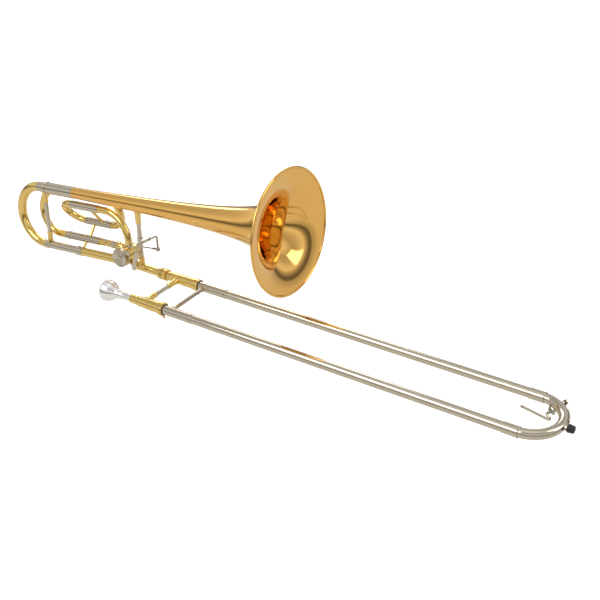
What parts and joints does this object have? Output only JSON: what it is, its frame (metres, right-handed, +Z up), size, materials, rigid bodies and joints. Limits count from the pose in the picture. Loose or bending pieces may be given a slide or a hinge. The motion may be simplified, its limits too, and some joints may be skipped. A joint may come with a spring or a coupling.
{
  "type": "tenor trombone with f attachment",
  "caption": "Tenor trombone with a rotary-valve F attachment: sliding hand slide, tuning slides, thumb lever, water key and removable mouthpiece.",
  "frame": {"origin": "middle of the inner slide brace, where the left hand holds the instrument", "axes": "+X forward along the hand slide, +Y to the player's left, +Z up out of the slide plane"},
  "size_m": [1.1611, 0.2402, 0.2774],
  "materials": {
    "brass": "lacquered yellow brass, polished",
    "gold_brass": "lacquered gold brass, polished",
    "nickel_silver": "polished nickel silver",
    "silver_plate": "silver plate, polished",
    "steel": "plain steel",
    "black_rubber": "moulded rubber",
    "black_cork": "black neoprene cork",
    "black_felt": "pressed felt"
  },
  "bodies": {
    "inner_slide": {"left_barrel": "brass", "right_barrel": "brass", "slide_receiver": "brass", "mouthpiece_receiver": "brass", "barrel_felts": "black_felt", "left_inner_tube": "nickel_silver", "right_inner_tube": "nickel_silver", "stockings": "silver_plate", "inner_brace_bar": "nickel_silver", "inner_brace_sockets": "brass"},
    "slide_lock": {"slide_lock_ring": "brass"},
    "hand_slide": {"left_outer_tube": "nickel_silver", "right_outer_tube": "nickel_silver", "outer_tube_sleeves": "nickel_silver", "outer_brace": "nickel_silver", "end_ferrules": "nickel_silver", "end_bow": "nickel_silver", "bow_guard": "nickel_silver", "bumper_cup": "nickel_silver", "rubber_bumper": "black_rubber", "water_key_nipple": "nickel_silver", "water_key_saddle": "nickel_silver", "water_key_spring": "steel"},
    "water_key": {"water_key_lever": "nickel_silver", "water_key_cork": "black_cork"},
    "mouthpiece": {"mouthpiece": "silver_plate"},
    "lock_nut": {"lock_nut": "brass"},
    "bell_section": {"gooseneck": "brass", "bell": "gold_brass", "bell_rim_wire": "steel", "bell_brace_bar": "nickel_silver", "bell_brace_fittings": "brass", "main_lower_tube": "brass", "tuning_sleeves": "nickel_silver", "valve_casing": "brass", "valve_cap": "nickel_silver", "valve_back_plate": "brass", "stop_corks": "black_cork", "f_lead_tube": "brass", "f_slide_sleeves": "nickel_silver", "f_upper_tube": "brass", "f_front_crook": "brass", "f_loop_tubes": "brass", "f_small_bow": "brass", "f_drop_tube": "brass", "f_ferrules": "nickel_silver", "f_braces": "brass", "lever_hinge": "nickel_silver"},
    "main_tuning_slide": {"tuning_bow": "brass", "tuning_legs": "nickel_silver", "tuning_ferrules": "nickel_silver", "tuning_brace_bar": "nickel_silver", "tuning_brace_sockets": "brass"},
    "f_tuning_slide": {"f_tuning_bow": "brass", "f_tuning_legs": "nickel_silver"},
    "rotor": {"rotor": "steel", "stop_arm": "nickel_silver"},
    "thumb_lever": {"thumb_lever": "nickel_silver", "lever_spring": "steel"},
    "valve_link": {"valve_link": "steel"}
  },
  "joints": [
    {"name": "hand_slide", "type": "slide", "parent": "inner_slide", "child": "hand_slide", "axis": [1, 0, 0], "range_m": [0, 0.6]},
    {"name": "bell_turn", "type": "hinge", "parent": "inner_slide", "child": "bell_section", "pos_m": [-0.06, 0.048, 0], "axis": [1, 0, 0], "range_deg": [-25, 25]},
    {"name": "lock_nut_turn", "type": "hinge", "parent": "inner_slide", "child": "lock_nut", "pos_m": [-0.038, 0.048, 0], "axis": [1, 0, 0], "continuous": true},
    {"name": "slide_lock_turn", "type": "hinge", "parent": "inner_slide", "child": "slide_lock", "pos_m": [0.04, -0.048, 0], "axis": [1, 0, 0], "range_deg": [0, 30]},
    {"name": "mouthpiece_pull", "type": "slide", "parent": "inner_slide", "child": "mouthpiece", "axis": [-1, 0, 0], "range_m": [0, 0.03]},
    {"name": "main_tuning_pull", "type": "slide", "parent": "bell_section", "child": "main_tuning_slide", "axis": [-0.9966, -0.0095, -0.0817], "range_m": [0, 0.05]},
    {"name": "f_tuning_pull", "type": "slide", "parent": "bell_section", "child": "f_tuning_slide", "axis": [-0.9966, -0.0095, -0.0817], "range_m": [0, 0.05]},
    {"name": "thumb_lever_press", "type": "hinge", "parent": "bell_section", "child": "thumb_lever", "pos_m": [-0.07947, 0.05417, 0.05291], "axis": [0, -0.9933, 0.1158], "range_deg": [0, 23.7], "stiffness_Nm_per_rad": 0.15, "springref_deg": -22.92},
    {"name": "rotor_turn", "type": "hinge", "parent": "bell_section", "child": "rotor", "pos_m": [-0.12156, 0.04987, 0.01607], "axis": [0, 0.9933, -0.1158], "range_deg": [0, 90]},
    {"name": "valve_link_swing", "type": "hinge", "parent": "thumb_lever", "child": "valve_link", "pos_m": [-0.07733, 0.08395, 0.02335], "axis": [0, 0.9933, -0.1158], "range_deg": [0, 21.3]},
    {"name": "water_key_press", "type": "hinge", "parent": "hand_slide", "child": "water_key", "pos_m": [0.70877, 0.03324, -0.0092], "axis": [-0.848, 0.5299, 0], "range_deg": [0, 15], "stiffness_Nm_per_rad": 0.05, "springref_deg": -17.19}
  ],
  "couplings": [
    {"joint": "rotor_turn", "follows": "thumb_lever_press", "ratio": 3.797},
    {"joint": "valve_link_swing", "follows": "thumb_lever_press", "ratio": 0.8945}
  ]
}
